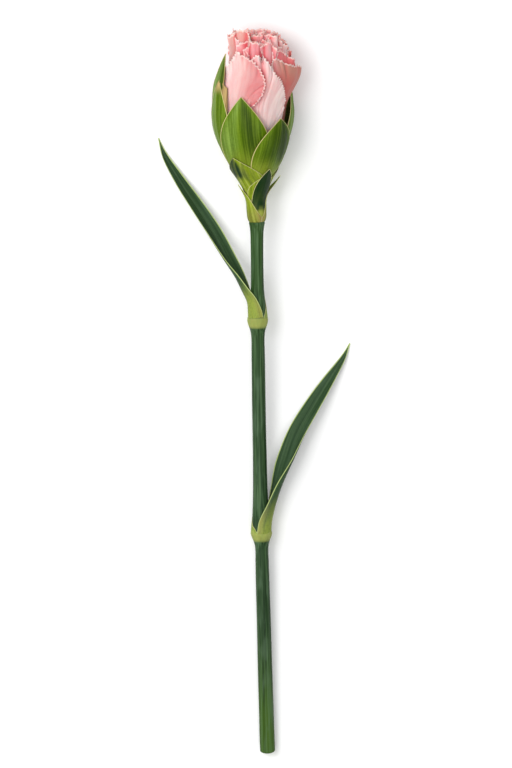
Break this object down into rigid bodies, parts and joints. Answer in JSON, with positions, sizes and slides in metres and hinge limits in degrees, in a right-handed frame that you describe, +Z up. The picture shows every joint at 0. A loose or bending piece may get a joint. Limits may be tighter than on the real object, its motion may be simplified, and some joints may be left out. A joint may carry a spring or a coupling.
{
  "type": "cut carnation",
  "caption": "Cut carnation lying down: an opening ruffled bud in a green calyx on a jointed stem with narrow channelled leaves.",
  "frame": {"origin": "the middle of the flower's own bounding box, on the surface that it lies on", "axes": "+Y along the stem towards the bud, +X to the right of somebody looking down with the bud away from them, +Z up from the surface"},
  "size_m": [0.0666, 0.2534, 0.0264],
  "materials": {
    "stem": "satin",
    "leaf": "satin",
    "sheath": "satin",
    "bract": "satin",
    "sepal": "satin",
    "petal": "matte",
    "pistil": "satin"
  },
  "bodies": {
    "root": {"stem": "stem", "upper_leaf": "leaf", "lower_leaf": "leaf", "upper_leaf_stub": "sheath", "lower_leaf_stub": "sheath", "bract_outer_left": "bract", "bract_outer_right": "bract", "bract_second_front": "bract", "bract_second_back": "bract", "bract_third_front": "bract", "bract_third_back": "bract", "bract_inner_left": "bract", "bract_inner_right": "bract", "sepal_front_left": "sepal", "sepal_front_right": "sepal", "sepal_right": "sepal", "sepal_back": "sepal", "sepal_left_tall": "sepal", "sepal_left": "sepal", "petal_1_1": "petal", "petal_1_2": "petal", "petal_1_3": "petal", "petal_1_4": "petal", "petal_1_5": "petal", "petal_2_1": "petal", "petal_2_2": "petal", "petal_2_3": "petal", "petal_2_4": "petal", "petal_2_5": "petal", "petal_3_1": "petal", "petal_3_2": "petal", "petal_3_3": "petal", "petal_3_4": "petal", "petal_3_5": "petal", "petal_3_6": "petal", "petal_4_1": "petal", "petal_4_2": "petal", "petal_4_3": "petal", "petal_4_4": "petal", "petal_4_5": "petal", "petal_4_6": "petal", "petal_5_1": "petal", "petal_5_2": "petal", "petal_5_3": "petal", "petal_5_4": "petal", "petal_6_1": "petal", "petal_6_2": "petal", "petal_6_3": "petal", "petal_6_4": "petal", "pistil": "pistil"}
  },
  "joints": []
}
